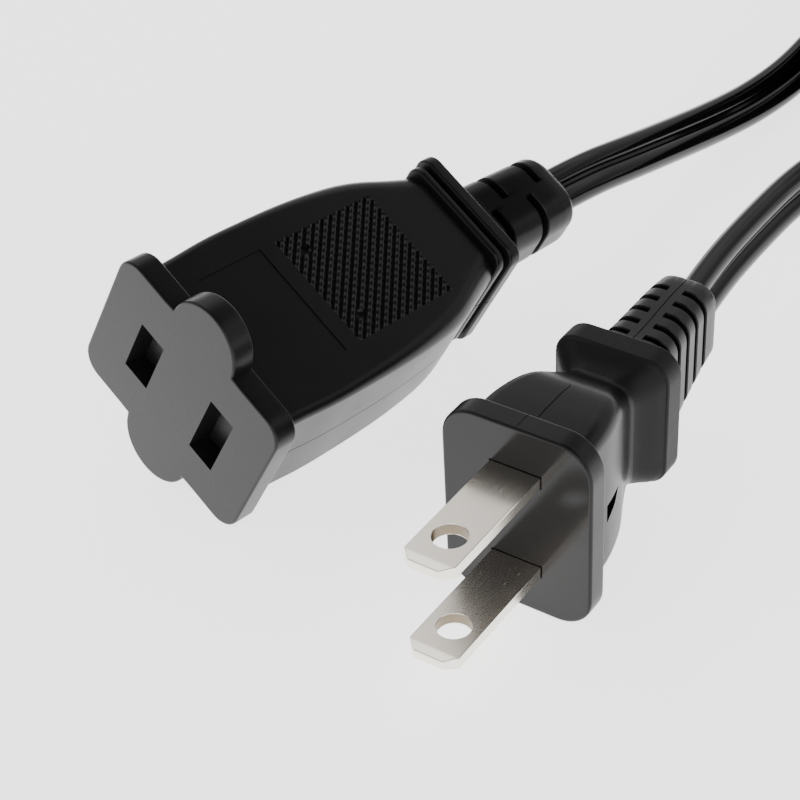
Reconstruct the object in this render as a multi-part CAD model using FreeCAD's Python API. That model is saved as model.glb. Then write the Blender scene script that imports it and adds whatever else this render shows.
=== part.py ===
import FreeCAD, Part
import math
import os

# Two-wire extension lead: a type A plug with two flat blades on one end, a polarised two-slot
# type A socket on the other, and a flat twin cord between them, coiled where it isn't straight.
# Millimetres, +Z up. The origin is the middle of the plug's face, between the blades.
# The blades point along -Y, stand one above the other along Z, and are wide along X.
# Each moulding is drawn in axes of its own first: x across a blade or slot, y along the line
# that joins the two poles, z out of the face. Depths behind a face are written as plus values.

os.makedirs("parts", exist_ok=True)

V = FreeCAD.Vector

# Type A pattern, shared by the plug and the socket
pole_spacing = 12.7
blade_w = 6.35
blade_t = 1.5
blade_length = 17.9
blade_hole_d = 4.0
blade_hole_at = 12.8
blade_corner = 1.3
blade_bevel = 1.6
blade_thinning = 0.35

# Plug: front plate
plate_w = 18.87
plate_h = 25.12
plate_t = 3.05
plate_corner = 4.3
plate_edge = 0.4

# Plug: body behind the plate, as depth, half width, half height and corner radius
plug_stations = [(plate_t, 7.6, 10.8, 2.6), (8.0, 7.3, 10.9, 2.6), (10.5, 6.85, 10.8, 2.7),
                 (12.5, 6.2, 10.45, 2.8), (14.0, 5.6, 9.9, 2.9), (15.5, 5.0, 9.0, 3.0),
                 (16.8, 4.65, 8.35, 3.0), (18.0, 4.75, 8.3, 3.0), (19.1, 5.3, 8.6, 3.0),
                 (20.0, 6.1, 9.05, 3.0)]

# Plug: finger flange, whose front is scooped down to the waist
flange_at = 20.9
flange_t = 3.2
flange_w = 14.8
flange_h = 20.0
flange_corner = 3.0
flange_edge = 0.5
scoop_lip = 0.15

# Plug: small pocket in one side, where a pin of the mould held the wires apart
notch_at = 7.6
notch_l = 4.3
notch_h = 1.6
notch_y = -2.1
notch_floor = 5.8

# Plug: strain relief, pulled a little askew as it lies, with slots on both sides of its seams
relief_length = 17.9
relief_root_w = 9.2
relief_root_h = 17.0
relief_end_w = 7.8
relief_end_h = 10.6
relief_corner = 2.5
relief_side = -0.86
relief_rise = 1.96
relief_slots = 5
relief_slot_first = 2.9
relief_slot_pitch = 2.75
relief_slot_w = 0.9
relief_slot_depth = 1.2
relief_seam = 1.0

# Socket: face plate with a half-round ear on each long side
face_w = 21.85
face_h = 29.0
face_t = 3.2
face_corner = 3.0
face_edge = 0.35
ear_r = 5.4
ear_out = 10.6
ear_t = 3.5

# Socket: tapered slots in the face, one longer than the other so that it is polarised
slot_w = 4.1
slot_l_long = 9.6
slot_l_short = 8.3
slot_taper = 1.4
slot_corner = 0.5
plate_over_insert = 3.4

# Socket: body, as depth, half height and corner radius, between two flat wide sides
body_w = 17.0
socket_stations = [(face_t, 12.6, 1.2), (11.0, 13.05, 1.2), (17.0, 13.15, 1.4), (24.3, 13.0, 1.8),
                   (31.8, 12.4, 2.4), (35.9, 11.6, 2.8), (40.3, 10.0, 3.2), (43.7, 8.6, 3.2)]

# Socket: double rim at the rear with a groove between
rim_at = 43.7
rim_t = 1.5
rim_w = 19.6
rim_h = 18.2
groove_w = 0.8
groove_depth = 0.9
rear_rim_t = 1.4
rear_rim_w = 20.2
rear_rim_h = 18.9
rim_corner = 1.8
rim_edge = 0.3

# Socket: two shallow recesses in each wide side, a bare one and a knurled one
recess_h = 16.4
recess_depth = 0.25
bare_from = 7.0
bare_to = 16.9
grip_from = 19.2
grip_to = 35.5

# Socket: strain relief, pulled a little askew as it lies, with staggered slots
neck_length = 16.6
neck_root_w = 10.4
neck_root_h = 12.0
neck_end_w = 9.8
neck_end_h = 11.2
neck_corner = 4.2
neck_side = 1.82
neck_rise = -0.92
neck_slot_w = 1.1
neck_slot_depth = 1.2
neck_slot_first = 5.0
neck_slot_pitch = 2.9
neck_seam = 0.5

# Inner block of the plug, which holds the blades while the body is moulded round it
bridge_at = 1.6
bridge_t = 5.4
bridge_w = 9.6
bridge_h = 17.6
blade_root = 5.0
tail_w = 3.2

# Crimp barrels and wires
barrel_d = 2.8
barrel_wall = 0.5
barrel_l = 4.2
barrel_gap = 1.4
core_d = 3.2
strip_gap = 0.5

# Inner block of the socket with its spring contacts
insert_w = 12.4
insert_h = 20.6
insert_t = 17.0
leaf_t = 0.45
leaf_gap = 1.1
leaf_w = 6.8
leaf_l = 12.0
leaf_lip = 0.45
leaf_lip_l = 1.0
leaf_setback = 0.4
chamber_gap = 0.3
contact_tail_t = 1.0

# Flat twin cord
cord_w = 6.6
cord_t = 3.3
cord_web = 1.5
split_at = 24.2
socket_split_at = 42.0
lane = (cord_w - cord_t) / 2

# How finely the tapering and bending forms are divided
corner_chords = 4
core_chords = 9
cord_strips = 14
core_strips = 8
coil_sides = 36

# Where the socket lies: its face's middle, its turn about Z, its tip and its roll
socket_x = -43.61
socket_y = -4.48
socket_turn = -9.4
socket_tip = 3.41
socket_roll = 28.77

# Cord's route and coil. The floor is under the plug's plate. The coil is wound on edge.
floor = -plate_h / 2
coil_x = 12.27
coil_y = 144.12
coil_r = 39.6
coil_turns_across = 4
coil_layers = 2
coil_edge = 1.2
plug_join = -60
socket_join = 177


def outline(w, h, r, z, dx=0.0, dy=0.0):
    """A rounded rectangle, w along x and h along y, at height z."""
    a = w / 2 - r
    b = h / 2 - r
    k = r * math.sqrt(0.5)
    corners = []
    for sx, sy in ((1, 1), (-1, 1), (-1, -1), (1, -1)):
        c = V(dx + sx * a, dy + sy * b, z)
        ends = [c + V(sx * r, 0, 0), c + V(0, sy * r, 0)]
        if sx != sy:
            ends.reverse()
        corners.append((ends[0], c + V(sx * k, sy * k, 0), ends[1]))
    edges = []
    for i, (p, m, q) in enumerate(corners):
        edges.append(Part.Arc(p, m, q).toShape())
        edges.append(Part.LineSegment(q, corners[(i + 1) % 4][0]).toShape())
    return Part.Wire(edges)


def chord_outline(w, h, r, z, dx=0.0, dy=0.0):
    """The same outline with each corner in a few straight chords, for forms that taper."""
    points = []
    for i in range(4):
        cx = dx + (w / 2 - r) * (1 if i in (0, 3) else -1)
        cy = dy + (h / 2 - r) * (1 if i < 2 else -1)
        for k in range(corner_chords + 1):
            a = math.pi / 2 * (i + k / corner_chords)
            points.append(V(cx + r * math.cos(a), cy + r * math.sin(a), z))
    return Part.makePolygon(points + points[:1])


def cord_outline(z, dx=0.0, dy=0.0):
    """The flat cord's section at height z: two round cores side by side along y, with a web."""
    r = cord_t / 2
    open_angle = math.asin(cord_web / cord_t)
    points = []
    for sign in (1, -1):
        for k in range(core_chords + 1):
            a = open_angle - math.pi / 2 + (2 * math.pi - 2 * open_angle) * k / core_chords
            points.append(V(dx + sign * r * math.cos(a), dy + sign * (lane + r * math.sin(a)), z))
    return Part.makePolygon(points + points[:1])


def ring_wire(at, along, d, sides):
    """A regular outline of the given number of sides, square to a direction."""
    across = V(along.y, -along.x, 0) if math.hypot(along.x, along.y) > 1e-6 else V(1, 0, 0)
    across.normalize()
    above = V(along).normalize().cross(across)
    points = []
    for k in range(sides):
        a = 2 * math.pi * (k + 0.5) / sides
        points.append(at + across * (d / 2 * math.cos(a)) + above * (d / 2 * math.sin(a)))
    return Part.makePolygon(points + points[:1])


def slab(w, h, r, top, t, edge=0.0):
    """A rounded plate of thickness t whose front is at depth top, with both rims chamfered."""
    if not edge:
        return Part.Face(outline(w, h, r, -top - t)).extrude(V(0, 0, t))
    small = (w - 2 * edge, h - 2 * edge, r - edge)
    return Part.makeLoft([outline(*small, -top), outline(w, h, r, -top - edge),
                          outline(w, h, r, -top - t + edge), outline(*small, -top - t)], True, True)


def box(w, h, top, t, x=0.0, y=0.0):
    """A block centred on x and y, from depth top down by t."""
    return Part.makeBox(w, h, t, V(x - w / 2, y - h / 2, -top - t))


def rod(d, top, length, x=0.0, y=0.0):
    return Part.makeCylinder(d / 2, length, V(x, y, -top - length))


def hex_bar(d, top, length, x=0.0, y=0.0):
    """A hexagonal bar d across its corners, the shape that a crimping tool leaves."""
    return Part.Face(ring_wire(V(x, y, -top), V(0, 0, -1), d, 6)).extrude(V(0, 0, -length))


def bent_bar(root, length, sizes, side, rise, corner, shrink=0.0):
    """A tapered rounded bar from depth root, its end off the axis; shrink comes off every side."""
    wires = []
    for share, (w, h) in zip((0, 1), sizes):
        wires.append(chord_outline(w - 2 * shrink, h - 2 * shrink, max(corner - shrink, 0.3),
                                   -root - length * share, side * share, rise * share))
    return Part.makeLoft(wires, True, True)


def flat_cord(start, root, length, side, rise):
    """The cord's end: straight from depth start to the relief's root, then askew with the relief."""
    askew = Part.makeLoft([cord_outline(-root), cord_outline(-root - length, side, rise)], True, True)
    straight = Part.Face(cord_outline(-root)).extrude(V(0, 0, root - start))
    return straight.fuse(askew).removeSplitter()


def run_edges(points):
    """Straight runs joined by tangent arcs as large as the runs allow, and the arcs' radii."""
    edges = []
    radii = []
    here = points[0]
    for i in range(1, len(points) - 1):
        p = points[i]
        back = points[i - 1] - p
        onward = points[i + 1] - p
        turn = math.pi - back.getAngle(onward)
        trim = 0.45 * min(back.Length, onward.Length)
        radius = trim / math.tan(turn / 2)
        u = V(back).normalize()
        w = V(onward).normalize()
        bisector = (u + w).normalize()
        centre = p + bisector * math.hypot(trim, radius)
        start = p + u * trim
        end = p + w * trim
        edges.append(Part.LineSegment(here, start).toShape())
        edges.append(Part.Arc(start, centre - bisector * radius, end).toShape())
        radii.append(radius)
        here = end
    edges.append(Part.LineSegment(here, points[-1]).toShape())
    return edges, radii


def pipe(edges, d):
    """A round bar of diameter d along a chain of edges, in flat strips all round."""
    first = edges[0]
    ring = ring_wire(first.valueAt(first.FirstParameter), first.tangentAt(first.FirstParameter), d,
                     cord_strips)
    bar = Part.Wire(edges).makePipeShell([ring], True, False)
    if bar.Volume < 0:
        bar.reverse()
    return bar


def elbow(points, d):
    """A round bar of diameter d along straight runs with mitred corners."""
    path = Part.makePolygon(points)
    ring = ring_wire(points[0], points[1] - points[0], d, core_strips)
    bar = path.makePipeShell([ring], True, False, 1)
    if bar.Volume < 0:
        bar.reverse()
    return bar


def prism(points, axis_length):
    """A closed outline extruded along a vector and centred on where it was drawn."""
    face = Part.Face(Part.makePolygon(points + [points[0]]))
    face.translate(axis_length * -0.5)
    return face.extrude(axis_length)


def save(name, shape, place):
    if len(shape.Solids) != 1:
        raise ValueError("%s: %d solids" % (name, len(shape.Solids)))
    shape = shape.Solids[0].copy()
    shape.transformShape(place)
    if not shape.isValid():
        raise ValueError(name + " is not valid")
    shape.exportStep("parts/" + name + ".step")
    print("%-18s %9.1f mm3, lowest %.2f" % (name, shape.Volume, shape.BoundBox.ZMin))
    return shape


# Places: the plug stands on edge, and the socket lies rolled on a lower corner
plug_place = FreeCAD.Matrix(1, 0, 0, 0, 0, 0, -1, 0, 0, 1, 0, 0, 0, 0, 0, 1)

turn = math.radians(socket_turn)
tip = math.radians(socket_tip)
roll = math.radians(socket_roll)
out = V(math.sin(turn) * math.cos(tip), -math.cos(turn) * math.cos(tip), math.sin(tip))
side = V(math.cos(turn), math.sin(turn), 0)
up = out.cross(side)
ax = up * math.cos(roll) + side * math.sin(roll)
ay = up * math.sin(roll) - side * math.cos(roll)
face_drop = math.hypot(ax.z, ay.z) * face_corner
face_drop += abs(ax.z) * (face_w / 2 - face_corner) + abs(ay.z) * (face_h / 2 - face_corner)
socket_z = floor + face_drop + (face_t - face_edge) * out.z
socket_place = FreeCAD.Matrix(ax.x, ay.x, out.x, socket_x, ax.y, ay.y, out.y, socket_y,
                              ax.z, ay.z, out.z, socket_z, 0, 0, 0, 1)

# Blades: folded brass strip, thinned at the tip, with a crimp barrel on the tail
blades = []
barrel_top = bridge_at + bridge_t + barrel_gap
for sign in (1, -1):
    y = sign * pole_spacing / 2
    w = blade_w / 2
    t = blade_t / 2
    wide = prism([V(-w, y, -blade_root), V(w, y, -blade_root), V(w, y, blade_length - blade_corner),
                  V(w - blade_corner, y, blade_length), V(blade_corner - w, y, blade_length),
                  V(-w, y, blade_length - blade_corner)], V(0, blade_t, 0))
    thin = t - blade_thinning
    edgewise = prism([V(0, y - t, -blade_root), V(0, y + t, -blade_root),
                      V(0, y + t, blade_length - blade_bevel), V(0, y + thin, blade_length),
                      V(0, y - thin, blade_length), V(0, y - t, blade_length - blade_bevel)],
                     V(blade_w, 0, 0))
    hole = Part.makeCylinder(blade_hole_d / 2, 2 * blade_t, V(0, y - blade_t, blade_hole_at),
                             V(0, 1, 0))
    blade = wide.common(edgewise).cut(hole)
    blade = blade.fuse(box(tail_w, blade_t, blade_root, barrel_top + 1.0 - blade_root, 0, y))
    blade = blade.fuse(hex_bar(barrel_d, barrel_top, barrel_l, 0, y))
    bore = hex_bar(barrel_d - 2 * barrel_wall, barrel_top + 0.6, barrel_l, 0, y)
    blades.append(blade.cut(bore).removeSplitter())

# Inner block of the plug, moulded round both blades
bridge = slab(bridge_w, bridge_h, 1.0, bridge_at, bridge_t)
for blade in blades:
    bridge = bridge.cut(blade)

# Wires of the plug: a bare end in the barrel, and a core that bends in to the flat cord
wires = []
barrel_end = barrel_top + barrel_l
for sign in (1, -1):
    y = sign * pole_spacing / 2
    start = barrel_end + strip_gap
    reach = split_at - start
    route = [V(0, y, -start), V(0, y, -start - 0.2 * reach),
             V(0, sign * lane, -split_at + 0.25 * reach), V(0, sign * lane, -split_at)]
    core = elbow(route, core_d)
    bare = hex_bar(barrel_d - 2 * barrel_wall, barrel_top + 0.6, start - barrel_top + 0.4, 0, y)
    wires.append(core.fuse(bare).removeSplitter())

# Flat cord inside the plug's relief
relief_root = flange_at + flange_t
plug_cord_end = flat_cord(split_at, relief_root + 0.6, relief_length - 0.6, relief_side, relief_rise)

# Plug body: plate, waisted body, scooped flange and slotted relief, moulded as one
sections = [chord_outline(2 * a, 2 * b, r, -z) for z, a, b, r in plug_stations]
sections.append(chord_outline(flange_w - 2 * scoop_lip, flange_h - 2 * scoop_lip, flange_corner,
                              -flange_at - 0.2))
waist = Part.makeLoft(sections, True, True)
relief_sizes = ((relief_root_w, relief_root_h), (relief_end_w, relief_end_h))
relief = bent_bar(relief_root, relief_length, relief_sizes, relief_side, relief_rise, relief_corner)
inside = bent_bar(relief_root, relief_length, relief_sizes, relief_side, relief_rise, relief_corner,
                  relief_slot_depth)
slots = []
for i in range(relief_slots):
    down = relief_slot_first + i * relief_slot_pitch
    dx = relief_side * down / relief_length
    dy = relief_rise * down / relief_length
    for sign in (1, -1):
        x = dx + sign * (relief_seam + relief_root_w / 2)
        slots.append(box(relief_root_w, 2 * relief_root_h, relief_root + down - relief_slot_w / 2,
                         relief_slot_w, x, dy))
slots = Part.makeCompound(slots).cut(inside)
plug_body = slab(plate_w, plate_h, plate_corner, 0, plate_t, plate_edge)
plug_body = plug_body.fuse(waist)
plug_body = plug_body.fuse(slab(flange_w, flange_h, flange_corner, flange_at, flange_t, flange_edge))
plug_body = plug_body.fuse(relief).cut(slots)
plug_body = plug_body.cut(box(plate_w / 2 - notch_floor, notch_h, notch_at, notch_l,
                              (plate_w / 2 + notch_floor) / 2, notch_y))
for inner in [bridge, plug_cord_end] + blades + wires:
    plug_body = plug_body.cut(inner)

# Spring contacts of the socket: two leaves that grip a blade, on one crimp barrel
contacts = []
contact_top = plate_over_insert + leaf_setback
contact_back = contact_top + leaf_l
socket_barrel = contact_back + barrel_gap
for sign in (1, -1):
    y = sign * pole_spacing / 2
    a = leaf_gap / 2
    b = a + leaf_t
    z0 = -contact_top
    z1 = z0 - leaf_lip_l
    z2 = -contact_back
    half = [(b + leaf_lip, z0), (a + leaf_lip, z0), (a, z1), (a, z2 + leaf_t)]
    ring = half + [(-p, q) for p, q in reversed(half)] + [(-b, z1), (-b, z2), (b, z2), (b, z1)]
    leaves = prism([V(0, y + p, q) for p, q in ring], V(leaf_w, 0, 0))
    tail = box(tail_w, contact_tail_t, contact_back, socket_barrel + 1.0 - contact_back, 0, y)
    barrel = hex_bar(barrel_d, socket_barrel, barrel_l, 0, y)
    bore = hex_bar(barrel_d - 2 * barrel_wall, socket_barrel + 0.6, barrel_l, 0, y)
    contacts.append(leaves.fuse(tail).fuse(barrel).cut(bore).removeSplitter())

# Inner block of the socket: a chamber round each contact, open towards its slot
insert = slab(insert_w, insert_h, 1.0, plate_over_insert, insert_t)
chamber_h = leaf_gap + 2 * (leaf_t + leaf_lip + chamber_gap)
for sign, contact in zip((1, -1), contacts):
    y = sign * pole_spacing / 2
    insert = insert.cut(box(leaf_w + 2 * chamber_gap, chamber_h, plate_over_insert,
                            contact_back - plate_over_insert, 0, y))
    insert = insert.cut(contact)
socket_wires = []
for sign in (1, -1):
    y = sign * pole_spacing / 2
    start = max(socket_barrel + barrel_l, plate_over_insert + insert_t) + strip_gap
    reach = socket_split_at - start
    route = [V(0, y, -start), V(0, y, -start - 0.25 * reach),
             V(0, sign * lane, -socket_split_at + 0.3 * reach), V(0, sign * lane, -socket_split_at)]
    core = elbow(route, core_d)
    bare = hex_bar(barrel_d - 2 * barrel_wall, socket_barrel + 0.6, start - socket_barrel + 0.4, 0, y)
    socket_wires.append(core.fuse(bare).removeSplitter())
for wire in socket_wires:
    insert = insert.cut(wire)

# Flat cord inside the socket's relief
neck_root = rim_at + rim_t + groove_w + rear_rim_t
socket_cord_end = flat_cord(socket_split_at, neck_root, neck_length, neck_side, neck_rise)

# Socket body: face with ears, tapering body, double rim and slotted relief, moulded as one
sections = [chord_outline(body_w, 2 * b, r, -z) for z, b, r in socket_stations]
barrel_form = Part.makeLoft(sections, True, True)
neck_sizes = ((neck_root_w, neck_root_h), (neck_end_w, neck_end_h))
neck = bent_bar(neck_root, neck_length, neck_sizes, neck_side, neck_rise, neck_corner)
inside = bent_bar(neck_root, neck_length, neck_sizes, neck_side, neck_rise, neck_corner,
                  neck_slot_depth)
cuts = []
for i in range(4):
    down = neck_slot_first + i * neck_slot_pitch
    dx = neck_side * down / neck_length
    dy = neck_rise * down / neck_length
    sign = 1 if i % 2 else -1
    y = dy + sign * (neck_seam + neck_root_h / 2)
    cuts.append(box(2 * neck_root_w, neck_root_h, neck_root + down - neck_slot_w / 2, neck_slot_w,
                    dx, y))
cuts = Part.makeCompound(cuts).cut(inside)
face = slab(face_w, face_h, face_corner, 0, face_t, face_edge)
ears = []
for sign in (1, -1):
    ears.append(rod(2 * ear_r, 0, ear_t, sign * ear_out, 0))
socket_body = face.fuse(ears).fuse(barrel_form)
rim_back = rim_at + rim_t
socket_body = socket_body.fuse([
    slab(rim_w, rim_h, rim_corner, rim_at, rim_t, rim_edge),
    slab(rim_w - 2 * groove_depth, rim_h - 2 * groove_depth, rim_corner, rim_back, groove_w),
    slab(rear_rim_w, rear_rim_h, rim_corner, rim_back + groove_w, rear_rim_t, rim_edge)])
socket_body = socket_body.fuse(neck).cut(cuts)
for sign in (1, -1):
    for start, end in ((bare_from, bare_to), (grip_from, grip_to)):
        socket_body = socket_body.cut(box(2 * recess_depth, recess_h, start, end - start,
                                          sign * body_w / 2, 0))
for sign, length in ((1, slot_l_short), (-1, slot_l_long)):
    y = sign * pole_spacing / 2
    mouth = outline(length, slot_w, slot_corner, 0, 0, y)
    throat = outline(length - slot_taper, slot_w - slot_taper, slot_corner, -plate_over_insert, 0, y)
    socket_body = socket_body.cut(Part.makeLoft([mouth, throat], True, True))
socket_body = socket_body.cut(slab(insert_w, insert_h, 1.0, plate_over_insert, insert_t))
for inner in [socket_cord_end] + contacts + socket_wires:
    socket_body = socket_body.cut(inner)

# Cord: a tube from each relief to the coil, and the coil with the two ends that leave it
cord_d = cord_w
plug_exit = plug_place.multVec(V(relief_side, relief_rise, -relief_root - relief_length))
socket_exit = socket_place.multVec(V(neck_side, neck_rise, -neck_root - neck_length))
low = floor + cord_d / 2
joins = []
for angle, z in ((plug_join, low + cord_d), (socket_join, low)):
    a = math.radians(angle)
    joins.append(V(coil_x + (coil_r - cord_d / 2) * math.cos(a),
                   coil_y + (coil_r - cord_d / 2) * math.sin(a), z))
plug_route = [plug_exit, plug_exit + V(0, 13, 0), V(-2.36, 79.9, 0.8), V(9.64, 100.68, -0.6),
              joins[0]]
socket_route = [socket_exit, socket_exit - out * 14, V(-31.2, 94.0, -7.2), V(-24.9, 123.0, low),
                joins[1]]
plug_edges, plug_radii = run_edges(plug_route)
socket_edges, socket_radii = run_edges(socket_route)
print("plug cord radii", [round(r) for r in plug_radii])
print("socket cord radii", [round(r) for r in socket_radii])
plug_free = 5
socket_free = 5
plug_run = pipe(plug_edges[:plug_free], cord_d)
socket_run = pipe(socket_edges[:socket_free], cord_d)
for name, edges, run in (("plug", plug_edges[:plug_free], plug_run),
                         ("socket", socket_edges[:socket_free], socket_run)):
    length = sum(e.Length for e in edges)
    section = cord_strips / 2 * (cord_d / 2) ** 2 * math.sin(2 * math.pi / cord_strips)
    print("%s cord run %.1f mm, volume over section times length %.4f"
          % (name, length, run.Volume / (length * section)))
coil_in = coil_r - coil_turns_across * cord_t
coil_top = floor + coil_layers * cord_w
forms = []
for r, e in ((coil_r, coil_edge), (coil_in, -coil_edge)):
    middle = V(coil_x, coil_y, 0)
    layers = ((r - e, floor), (r, floor + coil_edge), (r, coil_top - coil_edge), (r - e, coil_top))
    forms.append(Part.makeLoft([ring_wire(middle + V(0, 0, z), V(0, 0, 1), 2 * q, coil_sides)
                                for q, z in layers], True, True))
coil = forms[0].cut(forms[1])
coil = coil.fuse([pipe(plug_edges[plug_free:], cord_d), pipe(socket_edges[socket_free:], cord_d)])

world = FreeCAD.Matrix()
save("plug_body", plug_body, plug_place)
save("plug_bridge", bridge, plug_place)
save("blade_upper", blades[0], plug_place)
save("blade_lower", blades[1], plug_place)
save("plug_wire_upper", wires[0], plug_place)
save("plug_wire_lower", wires[1], plug_place)
save("plug_cord_end", plug_cord_end, plug_place)
save("plug_cord_run", plug_run, world)
save("cord_coil", coil, world)
save("socket_cord_run", socket_run, world)
save("socket_body", socket_body, socket_place)
save("socket_insert", insert, socket_place)
save("contact_upper", contacts[0], socket_place)
save("contact_lower", contacts[1], socket_place)
save("socket_wire_upper", socket_wires[0], socket_place)
save("socket_wire_lower", socket_wires[1], socket_place)
save("socket_cord_end", socket_cord_end, socket_place)
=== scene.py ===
import math
import bmesh
import bpy
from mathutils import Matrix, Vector


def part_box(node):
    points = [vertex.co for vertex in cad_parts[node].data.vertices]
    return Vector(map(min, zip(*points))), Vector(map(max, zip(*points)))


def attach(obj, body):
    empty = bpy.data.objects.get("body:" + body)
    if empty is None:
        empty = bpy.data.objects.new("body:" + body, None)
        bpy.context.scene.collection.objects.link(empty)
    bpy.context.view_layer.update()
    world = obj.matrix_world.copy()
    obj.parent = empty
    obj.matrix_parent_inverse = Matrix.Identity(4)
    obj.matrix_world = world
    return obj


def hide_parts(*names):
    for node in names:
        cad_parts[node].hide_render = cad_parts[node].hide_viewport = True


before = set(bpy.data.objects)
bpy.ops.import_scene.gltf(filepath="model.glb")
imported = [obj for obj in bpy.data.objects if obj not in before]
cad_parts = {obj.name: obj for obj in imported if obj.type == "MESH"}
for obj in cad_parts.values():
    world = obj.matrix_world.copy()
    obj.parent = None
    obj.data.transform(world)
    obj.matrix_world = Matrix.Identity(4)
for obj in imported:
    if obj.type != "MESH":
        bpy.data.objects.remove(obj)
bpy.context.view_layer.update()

scene = bpy.context.scene

# The lead lies on white paper that glows as overexposed paper does, between graded
# walls and under two soft boxes. The camera looks down across the blades' tips,
# and both cords run out of the picture behind.
camera_at = (0.08844, -0.14135, 0.14222)
camera_turn = (53.015, 2.726, 34.06)
camera_lens = 90
sweep_half = 3
paper_white = 0.9
paper_dull = 0.9
paper_glow = 2.2
# How high a direction points, 0 at the horizon and 1 overhead, and the grey seen there
wall_greys = ((0.0, 1.0), (0.08, 0.55), (0.25, 0.22), (0.5, 0.32), (0.6, 0.55), (0.7, 0.18),
              (0.78, 0.04), (1.0, 0.04))
wall_glow = 3.0

camera = bpy.data.objects.new("camera", bpy.data.cameras.new("camera"))
camera.location = camera_at
camera.rotation_euler = [math.radians(a) for a in camera_turn]
camera.data.lens = camera_lens
camera.data.sensor_width = 36
camera.data.clip_start = 0.01
scene.collection.objects.link(camera)
scene.camera = camera

floor_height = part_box("plug_body")[0].z
sweep_mesh = bpy.data.meshes.new("sweep")
sweep_mesh.from_pydata([(x * sweep_half, y * sweep_half, floor_height)
                        for x, y in ((-1, -1), (1, -1), (1, 1), (-1, 1))], [], [(0, 1, 2, 3)])
sweep = bpy.data.objects.new("sweep", sweep_mesh)
scene.collection.objects.link(sweep)
paper = bpy.data.materials.new("paper")
paper.use_nodes = True
shader = paper.node_tree.nodes["Principled BSDF"]
shader.inputs["Base Color"].default_value = (paper_white, paper_white, paper_white, 1)
shader.inputs["Roughness"].default_value = paper_dull
shader.inputs["Emission Color"].default_value = (1, 1, 1, 1)
shader.inputs["Emission Strength"].default_value = paper_glow
sweep_mesh.materials.append(paper)

world = bpy.data.worlds.new("studio")
world.use_nodes = True
nodes = world.node_tree.nodes
links = world.node_tree.links
direction = nodes.new("ShaderNodeTexCoord")
upward = nodes.new("ShaderNodeSeparateXYZ")
walls = nodes.new("ShaderNodeValToRGB")
stops = walls.color_ramp.elements
stops.remove(stops[-1])
for place, grey in wall_greys:
    stop = stops.new(place) if place else stops[0]
    stop.color = (grey, grey, grey, 1)
links.new(direction.outputs["Generated"], upward.inputs["Vector"])
links.new(upward.outputs["Z"], walls.inputs["Fac"])
links.new(walls.outputs["Color"], nodes["Background"].inputs["Color"])
nodes["Background"].inputs["Strength"].default_value = wall_glow
scene.world = world


def soft_box(name, at, aim, width, height, power):
    """A rectangular lamp that points from one place at another."""
    light = bpy.data.lights.new(name, "AREA")
    light.shape = "RECTANGLE"
    light.size = width
    light.size_y = height
    light.energy = power
    lamp = bpy.data.objects.new(name, light)
    lamp.location = at
    lamp.rotation_euler = (Vector(aim) - Vector(at)).to_track_quat("-Z", "Y").to_euler()
    scene.collection.objects.link(lamp)


soft_box("front", at=(0.25, -0.7, 0.35), aim=(-0.02, 0, 0), width=0.5, height=0.4, power=1.5)
soft_box("overhead", at=(-0.33, 0.2, 0.6), aim=(0, 0, 0), width=0.35, height=0.35, power=0.8)

# The cord is a flat twin: two stranded cores side by side in one glossy black
# sheath with a valley between them. It leaves the plug nearly on edge and the
# socket leaning as that does, and its slack is wound on edge behind the picture.
cord_width = 0.0066
cord_thick = 0.0033
cord_web = 0.0015
sheath_black = (0.002, 0.002, 0.002)
arc_steps = 18
coil_centre = (0.01227, 0.14412)
coil_outmost = 0.0378
coil_inmost = 0.0279
last_column = 3
coil_top = floor_height + 1.5 * cord_width
coil_bottom = floor_height + 0.5 * cord_width
turn_from = -52.75
turn_to = 165.75 + 7 * 360
turn_steps = 122
steps_a_turn = 16
row_moves = 4
first_drop = 6
roll_on_edge = 90
roll_at_plug = 104
roll_at_socket = 29
roll_by_socket = 37
plug_roll_from = 0.04
plug_roll_over = 0.06
socket_sway_over = 0.02
socket_roll_from = 0.06
socket_roll_over = 0.05

plug_lead = [(-0.00086, 0.0420, 0.00196), (-0.0019, 0.0500, 0.00195),
             (-0.0023, 0.0610, 0.00195), (-0.0020, 0.0760, 0.0020),
             (0.0015, 0.0903, 0.0025), (0.0111, 0.1004, 0.0035),
             (0.0234, 0.1069, 0.00394)]
socket_lead = [(-0.02548, 0.1382, -0.00926), (-0.0249, 0.1250, -0.0097),
               (-0.0260, 0.1130, -0.0094), (-0.0271, 0.1010, -0.0075),
               (-0.0280, 0.0880, -0.0046), (-0.0287, 0.0770, -0.0020),
               (-0.03004, 0.0672, -0.0001), (-0.0315, 0.05834, 0.00041)]


def ease(t):
    """Goes from 0 to 1 as t does, level at both ends and beyond them."""
    t = min(1.0, max(0.0, t))
    return t * t * (3 - 2 * t)


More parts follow.
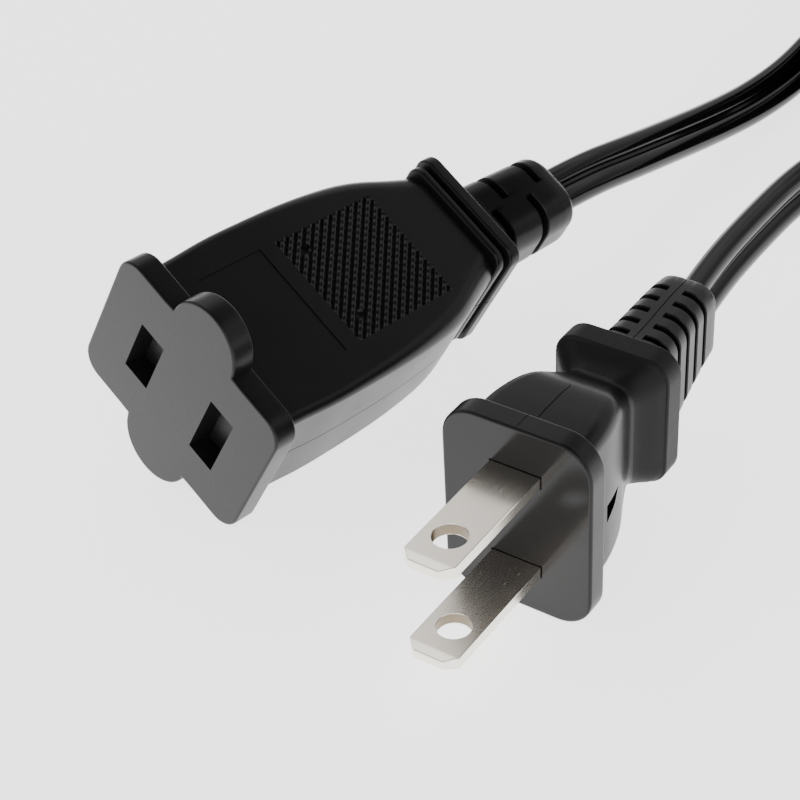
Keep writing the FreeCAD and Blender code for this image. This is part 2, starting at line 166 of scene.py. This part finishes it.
# The plug's end comes in on top of the coil's outmost turn. The turns then spiral
# inwards in the upper row and outwards in the lower one. The moves between places
# follow each other round a turn: the lower row out, the inmost turn down, the upper
# row in, each in a quarter of a turn, and then the plug's end down.
winding = []
for i in range(turn_steps + 1):
    angle = math.radians(turn_from + (turn_to - turn_from) * i / turn_steps)
    turns = (angle - math.radians(turn_from)) / (2 * math.pi)
    whole = int(turns)
    part = turns - whole
    if whole == 0:
        column = 0.0
        drop = ease(first_drop * (part - 0.75)) - 1
    elif whole <= last_column:
        column = whole - 1 + ease(row_moves * (part - 0.5))
        drop = 0.0
    elif whole == last_column + 1:
        column = last_column
        drop = ease(row_moves * (part - 0.25))
    else:
        column = 2 * last_column + 2 - whole - ease(row_moves * part)
        drop = 1.0
    # The spline runs halfway between its points, so those lie a little farther out.
    radius = coil_outmost + (coil_inmost - coil_outmost) * column / last_column
    radius /= math.cos(math.pi / steps_a_turn)
    winding.append((coil_centre[0] + radius * math.cos(angle),
                    coil_centre[1] + radius * math.sin(angle),
                    coil_top + (coil_bottom - coil_top) * drop))

route = bpy.data.curves.new("cord_route", "CURVE")
route.dimensions = "3D"
line = route.splines.new("NURBS")
points = plug_lead + winding + socket_lead
line.points.add(len(points) - 1)
for point, place in zip(line.points, points):
    point.co = (*place, 1)
line.order_u = 3
line.use_endpoint_u = True
line.resolution_u = 8
guide = bpy.data.objects.new("cord_route", route)
scene.collection.objects.link(guide)
bpy.context.view_layer.update()
path = [v.co.copy() for v in bpy.data.meshes.new_from_object(guide).vertices]
bpy.data.objects.remove(guide)


def soften(mesh, sharp):
    """Smooth shading, with hard edges where two faces meet at more than sharp degrees."""
    bm = bmesh.new()
    bm.from_mesh(mesh)
    for face in bm.faces:
        face.smooth = True
    for edge in bm.edges:
        folded = len(edge.link_faces) == 2 and edge.calc_face_angle() > math.radians(sharp)
        edge.smooth = not folded
    bm.to_mesh(mesh)
    bm.free()


def flatten(piece, sharp):
    """Softens a piece, and lets its large faces set the shading so that they stay flat."""
    soften(piece.data, sharp)
    weigh = piece.modifiers.new("weigh", "WEIGHTED_NORMAL")
    weigh.keep_sharp = True
    weigh.weight = 100
    bpy.context.view_layer.objects.active = piece
    bpy.ops.object.modifier_apply(modifier=weigh.name)


def skin(name, rings, sharp=32):
    """One closed surface through a row of rings that have the same number of points."""
    bm = bmesh.new()
    rows = [[bm.verts.new(p) for p in ring] for ring in rings]
    count = len(rows[0])
    for a, b in zip(rows, rows[1:]):
        for i in range(count):
            j = (i + 1) % count
            bm.faces.new((a[i], a[j], b[j], b[i]))
    bm.faces.new(rows[0][::-1])
    bm.faces.new(rows[-1])
    bmesh.ops.recalc_face_normals(bm, faces=bm.faces)
    mesh = bpy.data.meshes.new(name)
    bm.to_mesh(mesh)
    bm.free()
    soften(mesh, sharp)
    piece = bpy.data.objects.new(name, mesh)
    scene.collection.objects.link(piece)
    return piece


section = []
core = cord_thick / 2
apart = (cord_width - cord_thick) / 2
open_angle = math.asin(cord_web / cord_thick)
for sign in (1, -1):
    for k in range(arc_steps + 1):
        a = open_angle - math.pi / 2 + (2 * math.pi - 2 * open_angle) * k / arc_steps
        section.append((sign * (apart + core * math.sin(a)), sign * core * math.cos(a)))

along = [0.0]
for a, b in zip(path, path[1:]):
    along.append(along[-1] + (b - a).length)
rings = []
for i, place in enumerate(path):
    ahead = (path[min(i + 1, len(path) - 1)] - path[max(i - 1, 0)]).normalized()
    level = Vector((ahead.y, -ahead.x, 0)).normalized()
    upright = level.cross(ahead)
    near = along[i]
    far = along[-1] - near
    turned = ease((near - plug_roll_from) / plug_roll_over)
    roll = roll_at_plug + (roll_on_edge - roll_at_plug) * turned
    if far < socket_roll_from + socket_roll_over:
        turned = ease((far - socket_roll_from) / socket_roll_over)
        roll = roll_at_socket + (roll_by_socket - roll_at_socket) * ease(far / socket_sway_over)
        roll += (roll_on_edge - roll_by_socket) * turned
    across = level * math.cos(math.radians(roll)) + upright * math.sin(math.radians(roll))
    through = ahead.cross(across)
    ring = [place + across * u + through * v for u, v in section]
    lift = Vector((0, 0, max(0.0, floor_height - min(p.z for p in ring))))
    rings.append([p + lift for p in ring])
cord = skin("flat_cord", rings, 50)


def speckle(name, size, contrast, blotches):
    """A fine uneven grain: a node group that turns a scale into a height and a broad mask."""
    group = bpy.data.node_groups.new(name, "ShaderNodeTree")
    for label, default in (("Scale", size), ("Contrast", contrast)):
        socket = group.interface.new_socket(label, in_out="INPUT", socket_type="NodeSocketFloat")
        socket.default_value = default
    for label in ("Height", "Mask"):
        group.interface.new_socket(label, in_out="OUTPUT", socket_type="NodeSocketFloat")
    nodes = group.nodes
    links = group.links
    given = nodes.new("NodeGroupInput")
    result = nodes.new("NodeGroupOutput")
    where = nodes.new("ShaderNodeTexCoord")
    fine = nodes.new("ShaderNodeTexNoise")
    fine.inputs["Detail"].default_value = 3
    broad = nodes.new("ShaderNodeTexNoise")
    broad.inputs["Detail"].default_value = 2
    broad.inputs["Scale"].default_value = blotches
    spread = nodes.new("ShaderNodeMath")
    spread.operation = "MULTIPLY"
    links.new(where.outputs["Object"], fine.inputs["Vector"])
    links.new(where.outputs["Object"], broad.inputs["Vector"])
    links.new(given.outputs["Scale"], fine.inputs["Scale"])
    links.new(broad.outputs["Fac"], spread.inputs[0])
    links.new(given.outputs["Contrast"], spread.inputs[1])
    links.new(fine.outputs["Fac"], result.inputs["Height"])
    links.new(spread.outputs["Value"], result.inputs["Mask"])
    return group


grain = speckle("moulding_grain", size=2500, contrast=0.1, blotches=180)
grain_height = 0.0001
grain_tint = 1.35


def black_pvc(name, colour, dull, grain_size, bump, spread=0.08, shine=0.25):
    """Black vinyl; dull is its mean roughness and spread how much that wanders."""
    material = bpy.data.materials.new(name)
    material.use_nodes = True
    nodes = material.node_tree.nodes
    links = material.node_tree.links
    shader = nodes["Principled BSDF"]
    shader.inputs["Specular IOR Level"].default_value = shine
    texture = nodes.new("ShaderNodeGroup")
    texture.node_tree = grain
    texture.inputs["Scale"].default_value = grain_size
    texture.inputs["Contrast"].default_value = spread
    rough = nodes.new("ShaderNodeMath")
    rough.operation = "ADD"
    rough.inputs[1].default_value = dull - spread / 2
    relief = nodes.new("ShaderNodeBump")
    relief.inputs["Strength"].default_value = bump
    relief.inputs["Distance"].default_value = grain_height
    tint = nodes.new("ShaderNodeMix")
    tint.data_type = "RGBA"
    tint.inputs["A"].default_value = (*colour, 1)
    tint.inputs["B"].default_value = (*[c * grain_tint for c in colour], 1)
    links.new(texture.outputs["Mask"], rough.inputs[0])
    links.new(texture.outputs["Height"], tint.inputs["Factor"])
    links.new(texture.outputs["Height"], relief.inputs["Height"])
    links.new(rough.outputs["Value"], shader.inputs["Roughness"])
    links.new(tint.outputs["Result"], shader.inputs["Base Color"])
    links.new(relief.outputs["Normal"], shader.inputs["Normal"])
    return material


sheath = black_pvc("cord_sheath", sheath_black, dull=0.14, grain_size=900, bump=0.02,
                   spread=0.05, shine=0.2)
cord.data.materials.append(sheath)
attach(cord, "root")
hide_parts("plug_cord_run", "cord_coil", "socket_cord_run")

# The plug's body is one black vinyl moulding: a plate behind the blades, a body
# that narrows to a waist, a finger flange and a slotted strain relief.
plate_wide = 18.87
plate_high = 25.12
plate_thick = 3.05
plate_round = 4.3
plate_rim = 0.4
flange_wide = 14.8
flange_high = 17.5
flange_from = 20.9
flange_thick = 3.2
flange_round = 3.0
flange_rim = 0.3
flange_rise = 1.25
relief_from = 24.1
relief_long = 17.9
relief_root = (9.2, 15.8)
relief_end = (7.8, 10.6)
relief_round = 2.5
relief_rise = 0.6
relief_lean = (-0.86, 1.96)
relief_slots = (2.9, 5.65, 8.4, 11.15, 13.9)
relief_trim = 1.4
relief_trim_from = 17.2
slot_half = 0.45
slot_deep = 1.2
slot_rim = 0.12
slot_rim_share = 0.12
slot_wall = 0.03
seam_beside = 1.0
seam_half = 0.16
seam_floor = 0.07
seam_deep = 0.12
seam_from = 4.8
seam_to = 11.8
corner_steps = 9
pole_half = 6.35
well_half = (3.3, 0.87)
well_deep = 0.6
pocket = ((7.1, -2.5), (9.6, -1.5), (10.8, 0.0), (7.1, -0.1))
pocket_in = 6.0
texture_from = 17.8
vinyl_black = (0.004, 0.004, 0.0044)
face_black = (0.005, 0.005, 0.0055)


def ring_of(wide, high, round_, shift=(0, 0), seam=seam_deep):
    """A rounded rectangle's points and outward directions, with a parting groove on two sides."""
    a = wide / 2
    b = high / 2
    r = min(round_, a - 0.3, b - 0.3)
    half = [(a, (b - r) * (i / corner_steps - 1), 1, 0) for i in range(2 * corner_steps)]
    for i in range(corner_steps + 1):
        t = math.radians(90 / corner_steps * i)
        half.append((a - r + r * math.cos(t), b - r + r * math.sin(t), math.cos(t), math.sin(t)))
    # Two points stand close on each side of where the relief's slots end at the seam.
    outer = seam_beside + 0.05
    right = [(a - r + outer) / 2, outer, seam_beside - 0.05, 0.5, seam_half, seam_floor]
    for x in right + [0.0] + [-x for x in reversed(right)]:
        half.append((x, b - (0.0 if x else seam), 0, 1))
    for i in range(corner_steps):
        t = math.radians(90 + 90 / corner_steps * i)
        half.append((r - a + r * math.cos(t), b - r + r * math.sin(t), math.cos(t), math.sin(t)))
    both = half + [(-x, -y, -nx, -ny) for x, y, nx, ny in half]
    return [(x + shift[0], y + shift[1], nx, ny) for x, y, nx, ny in both]


def stand(x, y, depth):
    """A point of the plug, x across, y up and depth behind its face, in the lead's own frame."""
    return Vector((x, depth, y)) / 1000


def smooth_rows(rows, step):
    """Rows of depth and sizes, with more rows put between them on smooth curves."""
    made = []
    for i in range(len(rows) - 1):
        p0 = rows[max(i - 1, 0)]
        p1 = rows[i]
        p2 = rows[i + 1]
        p3 = rows[min(i + 2, len(rows) - 1)]
        count = max(1, round((p2[0] - p1[0]) / step))
        for k in range(count):
            t = k / count
            row = [p1[0] + (p2[0] - p1[0]) * t]
            for c in range(1, len(p1)):
                m1 = (p2[c] - p0[c]) / (p2[0] - p0[0]) * (p2[0] - p1[0])
                m2 = (p3[c] - p1[c]) / (p3[0] - p1[0]) * (p2[0] - p1[0])
                h = 2 * t ** 3 - 3 * t ** 2 + 1
                row.append(h * p1[c] + (t ** 3 - 2 * t ** 2 + t) * m1 + (1 - h) * p2[c]
                           + (t ** 3 - t ** 2) * m2)
            made.append(tuple(row))
    made.append(tuple(rows[-1]))
    return made


def eased_plate(front, back, wide, high, round_, edge):
    """Rows of a flat plate between two depths, with both rims rounded by edge."""
    rows = []
    for base, sign in ((front, 1), (back, -1)):
        for i in range(6):
            a = math.radians(18 * i if sign > 0 else 90 - 18 * i)
            inset = edge * (1 - math.sin(a))
            rows.append((base + sign * edge * (1 - math.cos(a)), wide - 2 * inset, high - 2 * inset,
                         round_ - inset))
    return rows


def carve(piece, cutter):
    """Takes one closed mesh out of another."""
    cut = piece.modifiers.new("cut", "BOOLEAN")
    cut.operation = "DIFFERENCE"
    cut.object = cutter
    cut.solver = "EXACT"
    bpy.context.view_layer.objects.active = piece
    bpy.ops.object.modifier_apply(modifier=cut.name)
    bpy.data.objects.remove(cutter)


def block(place, low, high):
    """A box between two corners given in a moulding's own axes."""
    rings = []
    for depth in (low[2], high[2]):
        rings.append([place(x, y, depth) for x, y in ((low[0], low[1]), (high[0], low[1]),
                                                      (high[0], high[1]), (low[0], high[1]))])
    return skin("cutter", rings)


# A row is its depth, width, height, corner radius and how far its middle is above
# the blades' middle: behind the plate the underside is drawn up towards the cord.
plug_rows = [row + (0.0,) for row in eased_plate(0, plate_thick, plate_wide, plate_high,
                                                plate_round, plate_rim)]
plug_rows += smooth_rows([(plate_thick, 15.4, 20.9, 2.9, 0.45), (3.6, 15.2, 20.6, 1.9, 0.5),
                          (8.0, 14.6, 20.7, 1.9, 0.55), (12.0, 12.8, 20.0, 2.1, 0.6),
                          (15.0, 10.4, 17.5, 2.5, 0.55), (17.0, 9.2, 15.6, 2.8, 0.5),
                          (18.4, 9.8, 15.5, 3.0, 0.55), (19.6, 11.9, 15.9, 2.8, 0.75),
                          (20.4, 13.5, 16.5, 2.6, 1.0), (20.85, 14.1, 16.9, 2.6, 1.15)], 0.4)
plug_rows += [row + (flange_rise,)
              for row in eased_plate(flange_from, flange_from + flange_thick, flange_wide,
                                     flange_high, flange_round, flange_rim)]
plug_rings = []
for depth, wide, high, round_, rise in plug_rows:
    grooved = plate_rim < depth < plate_thick or seam_from < depth < seam_to
    ring = ring_of(wide, high, round_, (0, rise), seam_deep if grooved else 0.0)
    plug_rings.append([stand(x, y, depth) for x, y, nx, ny in ring])

# A station is how far down the relief it is, and what share of a slot's depth it has.
stations = [(0.0, 0)]
for middle in relief_slots:
    start = middle - slot_half
    end = middle + slot_half
    stations += [(start - slot_rim, 0), (start, slot_rim_share), (start + slot_wall, 1),
                 (end - slot_wall, 1), (end, slot_rim_share), (end + slot_rim, 0)]
stations += [(15.6, 0), (17.0, 0), (17.5, 0), (relief_long, 0)]
for down, cut in stations:
    share = down / relief_long
    shift = (relief_lean[0] * ease(share),
             relief_rise + (relief_lean[1] - relief_rise) * ease(share))
    trim = relief_trim * max(0.0, down - relief_trim_from)
    wide = relief_root[0] + (relief_end[0] - relief_root[0]) * share - trim
    high = relief_root[1] + (relief_end[1] - relief_root[1]) * share - trim
    ring = []
    for x, y, nx, ny in ring_of(wide, high, relief_round, shift):
        inward = slot_deep * cut if abs(x - shift[0]) > seam_beside else 0.0
        ring.append(stand(x - nx * inward, y - ny * inward, relief_from + down))
    plug_rings.append(ring)
plug_body = skin("plug_moulding", plug_rings)

# A shallow well round each blade's root, and the wedge pocket in the side
for sign in (1, -1):
    middle = sign * pole_half
    carve(plug_body, block(stand, (-well_half[0], middle - well_half[1], -0.5),
                           (well_half[0], middle + well_half[1], well_deep)))
carve(plug_body, skin("cutter", [[stand(x, y, depth) for depth, y in pocket]
                                 for x in (pocket_in, pocket_in + 3)]))
flatten(plug_body, 32)

# The face is glossier than the rest, and the scoop and the flange, where fingers
# pull, are duller and have a coarser bump.
moulded = black_pvc("moulded_vinyl", vinyl_black, dull=0.33, grain_size=2600, bump=0.12,
                    spread=0.1, shine=0.2)
polished = black_pvc("polished_vinyl", face_black, dull=0.16, grain_size=900, bump=0.02,
                     spread=0.05, shine=0.28)
textured = black_pvc("textured_vinyl", face_black, dull=0.5, grain_size=5200, bump=0.3,
                     spread=0.12, shine=0.16)
for material in (moulded, polished, textured):
    plug_body.data.materials.append(material)
for face in plug_body.data.polygons:
    depth = face.center.y * 1000
    if abs(depth) < 0.02:
        face.material_index = 1
    elif texture_from < depth < relief_from:
        face.material_index = 2
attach(plug_body, "root")
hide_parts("plug_body")

# The two blades are nickel-washed brass strip, stamped through with a hole near the tip and
# coined narrower and thinner at the end. The wall of each hole is painted dark brown as shade.
# A block moulded round their roots holds them.
blade_wide = 6.35
blade_thick = 1.5
blade_long = 17.9
blade_corner = 1.3
blade_bevel = 0.9
blade_thinning = 0.2
blade_rim = 0.12
blade_root = 0.55
hole_at = 12.8
hole_round = 1.97
hole_chamfer = 0.25
hole_half = 0.65
hole_steps = 48
tip_round = 0.1
nickel_grey = (0.87, 0.81, 0.72)
# Dark brown painted on the wall of each hole as the shade inside it
hole_shade_brown = (0.20, 0.165, 0.12)
brush_scale = (5000, 300, 5000)
brush_rough = (0.2, 0.3)
brush_bump = 0.012
brush_height = 0.00002

nickel = bpy.data.materials.new("nickel_wash")
nickel.use_nodes = True
nodes = nickel.node_tree.nodes
links = nickel.node_tree.links
shader = nodes["Principled BSDF"]
shader.inputs["Base Color"].default_value = (*nickel_grey, 1)
shader.inputs["Metallic"].default_value = 1.0
where = nodes.new("ShaderNodeTexCoord")
stretch = nodes.new("ShaderNodeMapping")
stretch.inputs["Scale"].default_value = brush_scale
streaks = nodes.new("ShaderNodeTexNoise")
streaks.inputs["Scale"].default_value = 1.0
streaks.inputs["Detail"].default_value = 2
rough = nodes.new("ShaderNodeMapRange")
rough.inputs["To Min"].default_value = brush_rough[0]
rough.inputs["To Max"].default_value = brush_rough[1]
brushed = nodes.new("ShaderNodeBump")
brushed.inputs["Strength"].default_value = brush_bump
brushed.inputs["Distance"].default_value = brush_height
links.new(where.outputs["Object"], stretch.inputs["Vector"])
links.new(stretch.outputs["Vector"], streaks.inputs["Vector"])
links.new(streaks.outputs["Fac"], rough.inputs["Value"])
links.new(streaks.outputs["Fac"], brushed.inputs["Height"])
links.new(rough.outputs["Result"], shader.inputs["Roughness"])
links.new(brushed.outputs["Normal"], shader.inputs["Normal"])
# Painted shade: a dark brown metal for the wall of each hole, standing in for the shade there
hole_shade_metal = bpy.data.materials.new("painted_hole_shade")
hole_shade_metal.use_nodes = True
shader = hole_shade_metal.node_tree.nodes["Principled BSDF"]
shader.inputs["Base Color"].default_value = (*hole_shade_brown, 1)
shader.inputs["Metallic"].default_value = 1.0
shader.inputs["Roughness"].default_value = 0.4

# A row is how far back from the tip it is, and what each side and each face lose there.
blade_rows = ((blade_long + blade_root, 0, 0), (blade_corner, 0, 0),
              (blade_bevel, blade_corner - blade_bevel, 0),
              (tip_round, blade_corner - tip_round, blade_thinning - 0.06),
              (0.0, blade_corner + 0.04, blade_thinning + 0.04))
for name, sign in (("blade_upper", 1), ("blade_lower", -1)):
    rings = []
    for back, narrow, thin in blade_rows:
        half = blade_wide / 2 - narrow
        deep = blade_thick / 2 - thin
        corner = [(half, deep - blade_rim), (half - 0.3 * blade_rim, deep - 0.3 * blade_rim),
                  (half - blade_rim, deep)]
        around = corner + [(-x, y) for x, y in reversed(corner)]
        around += [(-x, -y) for x, y in around]
        rings.append([stand(x, sign * pole_half + y, back - blade_long) for x, y in around])
    blade = skin(name + "_shown", rings, 20)
    punch = []
    for radius, level in ((hole_round + hole_chamfer, -1.2), (hole_round, -hole_half),
                          (hole_round, hole_half), (hole_round + hole_chamfer, 1.2)):
        circle = []
        for i in range(hole_steps):
            t = math.radians(360 / hole_steps * i)
            circle.append(stand(radius * math.cos(t), sign * pole_half + level,
                                -hole_at - radius * math.sin(t)))
        punch.append(circle)
    carve(blade, skin("cutter", punch))
    flatten(blade, 20)
    blade.data.materials.append(nickel)
    blade.data.materials.append(hole_shade_metal)
    # The upright faces of each hole's wall take the painted shade
    for face in blade.data.polygons:
        from_hole = math.hypot(face.center.x, face.center.y + hole_at / 1000) * 1000
        if from_hole < hole_round + 0.02 and abs(face.normal.z) < 0.3:
            face.material_index = 1
    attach(blade, "root")
    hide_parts(name)

# The socket's body is the other vinyl moulding: a flat-sided body with a shallow
# panel and a grip's recess on both wide sides, a double rim and a slotted strain
# relief. Its grip and its face plate follow in sections of their own.
socket_at = Vector((-43.61, -4.48, 3.0637))
socket_x = Vector((0.48335, -0.02717, 0.87501))
socket_y = Vector((-0.86011, 0.17141, 0.48044))
socket_z = Vector((-0.16304, -0.98483, 0.05948))
side_wide = 17.0
side_half = side_wide / 2
rim_from = 43.7
rim_to = 44.95
rim_gap_from = 45.0
rim_gap_to = 45.5
rear_rim_from = 45.55
rear_rim_to = 47.4
neck_from = rear_rim_to
neck_long = 16.6
neck_root = (10.4, 12.0)
neck_taper = (0.6, 0.8)
neck_round = 3.6
neck_lean = (1.82, -0.92)
neck_slots = ((5.0, -1), (7.9, 1), (10.8, -1), (13.7, 1))
neck_trim = 1.2
neck_trim_from = 15.9
neck_slot_half = 0.55
neck_slot_deep = 1.2
neck_seam = 0.5
panel_half = 8.25
panel_from = 7.0
panel_to = 16.9
panel_deep = 0.12
grip_half = 8.15
grip_from = 19.25
grip_to = 35.55
grip_deep = 0.6


def lie_down(x, y, depth):
    """A point of the socket, x along a slot, y from pole to pole and depth behind its face."""
    return (socket_at + socket_x * x + socket_y * y - socket_z * depth) / 1000


# A row of the body in front of its rims is its depth, height and corner radius. Its
# width stays the same.
side_rows = ((2.6, 25.1, 1.2), (6.7, 25.54, 1.2), (11.0, 26.12, 1.2), (15.0, 26.32, 1.3),
             (24.3, 26.06, 1.7), (31.8, 24.88, 2.3), (35.9, 23.22, 2.7), (40.3, 20.0, 3.1),
             (rim_from, 17.4, 3.2))
body_rows = smooth_rows([(depth, side_wide, high, round_)
                         for depth, high, round_ in side_rows], 0.8)
body_rows += eased_plate(rim_from, rim_to, 18.9, 17.7, 2.0, 0.4)
body_rows += [(rim_gap_from, 17.4, 16.4, 1.5), (rim_gap_to, 17.4, 16.4, 1.5)]
body_rows += eased_plate(rear_rim_from, rear_rim_to, 19.6, 18.5, 2.0, 0.35)
socket_rings = []
for depth, wide, high, round_ in body_rows:
    socket_rings.append([lie_down(x, y, depth) for x, y, nx, ny in ring_of(wide, high, round_)])

# The relief's slots are on one side and the other by turns, told by the cut's sign.
stations = [(0.0, 0)]
for middle, sign in neck_slots:
    start = middle - neck_slot_half
    end = middle + neck_slot_half
    stations += [(start - slot_rim, 0), (start, slot_rim_share * sign), (start + slot_wall, sign),
                 (end - slot_wall, sign), (end, slot_rim_share * sign), (end + slot_rim, 0)]
stations += [(15.6, 0), (16.1, 0), (neck_long, 0)]
for down, cut in stations:
    share = down / neck_long
    shift = (neck_lean[0] * ease(share), neck_lean[1] * ease(share))
    trim = neck_trim * max(0.0, down - neck_trim_from)
    wide = neck_root[0] - neck_taper[0] * share - trim
    high = neck_root[1] - neck_taper[1] * share - trim
    ring = []
    for x, y, nx, ny in ring_of(wide, high, neck_round, shift, 0.0):
        slotted = cut * (y - shift[1]) > neck_seam * abs(cut)
        inward = neck_slot_deep * abs(cut) if slotted else 0.0
        ring.append(lie_down(x - nx * inward, y - ny * inward, neck_from + down))
    socket_rings.append(ring)
socket_body = skin("socket_moulding", socket_rings)
for sign in (1, -1):
    for half, start, end, deep in ((panel_half, panel_from, panel_to, panel_deep),
                                   (grip_half, grip_from, grip_to, grip_deep)):
        inner, outer = sorted((sign * (side_half - deep), sign * (side_half + 1)))
        carve(socket_body, block(lie_down, (inner, -half, start), (outer, half, end)))
flatten(socket_body, 32)
socket_body.data.materials.append(moulded)
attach(socket_body, "root")

# The grip on both wide sides: small raised diamonds in slanting rows, with two
# round marks where pins of the mould held the block inside.
knurl_cells = 88
knurl_pitch = 8
knurl_floor = -0.5
rib_high = 0.55
rib_slope = 1.7
tooth_deep = 0.13
tooth_slope = 1.5
pin_marks = ((5.56, 22.3), (-5.17, 22.15))
pin_round = 0.6
pin_floor = -0.75
grip_thick = 0.001

for sign in (1, -1):
    bm = bmesh.new()
    grid = []
    cell = 2 * grip_half / knurl_cells
    half_pitch = knurl_pitch / 2
    for i in range(knurl_cells + 1):
        row = []
        for k in range(knurl_cells + 1):
            y = -grip_half + cell * i
            depth = grip_from + cell * k
            rib = abs((i - k) % knurl_pitch - half_pitch) / half_pitch
            tooth = abs((i + k) % knurl_pitch - half_pitch) / half_pitch
            height = knurl_floor + rib_high * min(1.0, rib_slope * rib)
            height -= tooth_deep * (1 - min(1.0, tooth_slope * tooth))
            for py, pd in pin_marks:
                if math.hypot(y - py, depth - pd) < pin_round:
                    height = pin_floor
            if i in (0, knurl_cells) or k in (0, knurl_cells):
                height = 0.0
            row.append(bm.verts.new(lie_down(sign * (side_half + height), y, depth)))
        grid.append(row)
    for i in range(knurl_cells):
        for k in range(knurl_cells):
            bm.faces.new((grid[i][k], grid[i + 1][k], grid[i + 1][k + 1], grid[i][k + 1]))
    border = [grid[i][0] for i in range(knurl_cells)]
    border += [grid[-1][k] for k in range(knurl_cells)]
    border += [grid[i][-1] for i in range(knurl_cells, 0, -1)]
    border += [grid[0][k] for k in range(knurl_cells, 0, -1)]
    under = [bm.verts.new(v.co - socket_x * sign * grip_thick) for v in border]
    for i, v in enumerate(border):
        j = (i + 1) % len(border)
        bm.faces.new((border[j], v, under[i], under[j]))
    bm.faces.new(under)
    bmesh.ops.recalc_face_normals(bm, faces=bm.faces)
    mesh = bpy.data.meshes.new("grip")
    bm.to_mesh(mesh)
    bm.free()
    soften(mesh, 60)
    grip = bpy.data.objects.new("grip", mesh)
    scene.collection.objects.link(grip)
    grip.data.materials.append(moulded)
    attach(grip, "root")

# The face plate of the socket with its ears, cut through by two tapered slots.
face_wide = 21.85
face_high = 29.0
face_round = 3.0
face_profile = ((0, 0.35), (0.05, 0.17), (0.17, 0.05), (0.35, 0), (2.85, 0), (3.03, 0.05),
                (3.15, 0.17), (3.2, 0.35))
ear_round = 5.4
ear_out = 10.6
slots_long = ((1, 8.3), (-1, 9.6))
slot_wide = 4.1
slot_taper = 0.4
plate_black = (0.006, 0.006, 0.0065)


def face_outline():
    """The plate's outline with a half-round ear on each long side."""
    a = face_wide / 2
    b = face_high / 2
    meet = math.acos((a - ear_out) / ear_round)
    reach = ear_round * math.sin(meet)
    half = []
    for i in range(4):
        half.append((a, -(b - face_round) + (b - face_round - reach) * i / 4))
    for i in range(33):
        t = -meet + 2 * meet * i / 32
        half.append((ear_out + ear_round * math.cos(t), ear_round * math.sin(t)))
    for i in range(1, 5):
        half.append((a, reach + (b - face_round - reach) * i / 4))
    for i in range(1, 10):
        t = math.radians(10 * i)
        half.append((a - face_round + face_round * math.cos(t),
                     b - face_round + face_round * math.sin(t)))
    for i in range(1, 12):
        half.append((a - face_round - 2 * (a - face_round) * i / 12, b))
    for i in range(9):
        t = math.radians(90 + 10 * i)
        half.append((face_round - a + face_round * math.cos(t),
                     b - face_round + face_round * math.sin(t)))
    return half + [(-x, -y) for x, y in half]


def inset(points, amount):
    """The outline moved inwards by amount along its own normals."""
    moved = []
    for i, (x, y) in enumerate(points):
        before = Vector((x - points[i - 1][0], y - points[i - 1][1])).normalized()
        after = points[(i + 1) % len(points)]
        after = Vector((after[0] - x, after[1] - y)).normalized()
        both = (before + after).normalized()
        moved.append((x - both.y * amount, y + both.x * amount))
    return moved


face_points = face_outline()
face_rings = []
for depth, amount in face_profile:
    face_rings.append([lie_down(x, y, depth) for x, y in inset(face_points, amount)])
socket_face = skin("socket_face", face_rings)
for sign, length in slots_long:
    wedge = []
    for depth in (-0.5, face_profile[-1][0] + 0.8):
        half_l = (length - slot_taper * depth) / 2
        half_w = (slot_wide - slot_taper * depth) / 2
        wedge.append([lie_down(x * half_l, sign * pole_half + y * half_w, depth)
                      for x, y in ((1, -1), (1, 1), (-1, 1), (-1, -1))])
    carve(socket_face, skin("cutter", wedge))
flatten(socket_face, 32)
socket_face.data.materials.append(moulded)
socket_face.data.materials.append(black_pvc("face_vinyl", plate_black, dull=0.28, grain_size=2600,
                                            bump=0.08))
for face in socket_face.data.polygons:
    if abs((face.center * 1000 - socket_at).dot(socket_z)) < 0.1:
        face.material_index = 1
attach(socket_face, "root")
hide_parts("socket_body")

# Inside are moulded blocks, insulated cores and the socket's spring contacts of
# bare brass, whose edges show at the bottom of the slots.
inner_black = (0.02, 0.02, 0.021)
spring_yellow = (0.62, 0.50, 0.30)

plain = black_pvc("inner_vinyl", inner_black, dull=0.5, grain_size=1500, bump=0.1)
spring = bpy.data.materials.new("spring_brass")
spring.use_nodes = True
shader = spring.node_tree.nodes["Principled BSDF"]
shader.inputs["Base Color"].default_value = (*spring_yellow, 1)
shader.inputs["Metallic"].default_value = 1.0
shader.inputs["Roughness"].default_value = 0.35
inner_nodes = ("plug_bridge", "socket_insert", "plug_wire_upper", "plug_wire_lower",
               "plug_cord_end", "socket_wire_upper", "socket_wire_lower", "socket_cord_end")
for material, names in ((plain, inner_nodes), (spring, ("contact_upper", "contact_lower"))):
    for name in names:
        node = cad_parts[name]
        node.data.materials.clear()
        node.data.materials.append(material)
